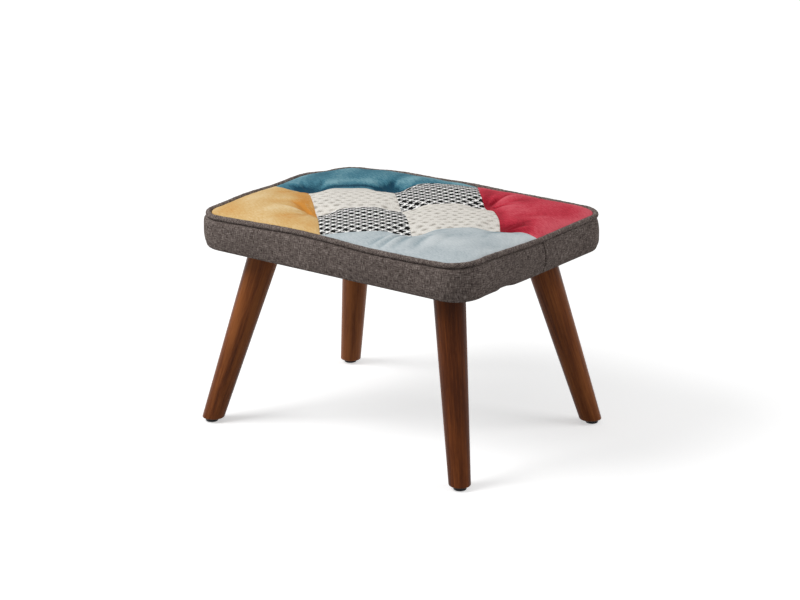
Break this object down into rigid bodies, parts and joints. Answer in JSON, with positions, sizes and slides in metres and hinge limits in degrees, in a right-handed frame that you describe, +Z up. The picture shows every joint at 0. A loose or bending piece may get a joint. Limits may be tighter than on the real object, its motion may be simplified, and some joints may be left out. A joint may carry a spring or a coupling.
{
  "type": "footstool",
  "caption": "Low upholstered footstool: a tufted patchwork cushion with piped edge and cloth band on splayed, tapered wooden legs.",
  "frame": {"origin": "on the floor under the middle of the seat", "axes": "+X along the long side of the seat, +Y from front to back, +Z up"},
  "size_m": [0.545, 0.4088, 0.3821],
  "materials": {
    "yellow_cloth": "brushed plain weave, sun yellow",
    "teal_cloth": "brushed plain weave, teal",
    "red_cloth": "brushed plain weave, crimson",
    "light_blue_cloth": "brushed plain weave, pale blue",
    "cream_cloth": "coarse nubby basket weave, cream",
    "houndstooth_cloth": "black and white houndstooth weave",
    "grey_cloth": "heathered brown grey linen-look weave",
    "cotton_cord": "twisted cotton cord",
    "wadding": "polyester fibre wadding",
    "foam": "open-cell polyurethane foam",
    "plywood": "sanded plywood",
    "dust_cloth": "spun-bonded black non-woven",
    "twine": "waxed tufting twine",
    "black_plastic": "moulded black plastic",
    "zinc_steel": "zinc-plated steel",
    "plate_steel": "black powder-coated steel",
    "walnut_wood": "walnut-stained beech, satin lacquer"
  },
  "bodies": {
    "root": {"patch_yellow": "yellow_cloth", "patch_teal": "teal_cloth", "patch_red": "red_cloth", "patch_light_blue": "light_blue_cloth", "patch_cream_left": "cream_cloth", "patch_cream_right": "cream_cloth", "patch_houndstooth_front": "houndstooth_cloth", "patch_houndstooth_back": "houndstooth_cloth", "piping_cover": "grey_cloth", "piping_cord": "cotton_cord", "band_front": "grey_cloth", "band_back": "grey_cloth", "wadding_sheet": "wadding", "foam_block": "foam", "seat_board": "plywood", "dust_cover": "dust_cloth", "tuft_twines": "twine", "tuft_washers": "black_plastic", "band_staples": "zinc_steel", "dust_cover_staples": "zinc_steel", "leg_plate_screws": "zinc_steel", "glide_nails": "zinc_steel", "leg_front_left": "walnut_wood", "leg_plate_front_left": "plate_steel", "hanger_bolt_front_left": "zinc_steel", "glide_front_left": "black_plastic", "leg_front_right": "walnut_wood", "leg_plate_front_right": "plate_steel", "hanger_bolt_front_right": "zinc_steel", "glide_front_right": "black_plastic", "leg_back_left": "walnut_wood", "leg_plate_back_left": "plate_steel", "hanger_bolt_back_left": "zinc_steel", "glide_back_left": "black_plastic", "leg_back_right": "walnut_wood", "leg_plate_back_right": "plate_steel", "hanger_bolt_back_right": "zinc_steel", "glide_back_right": "black_plastic"}
  },
  "joints": []
}
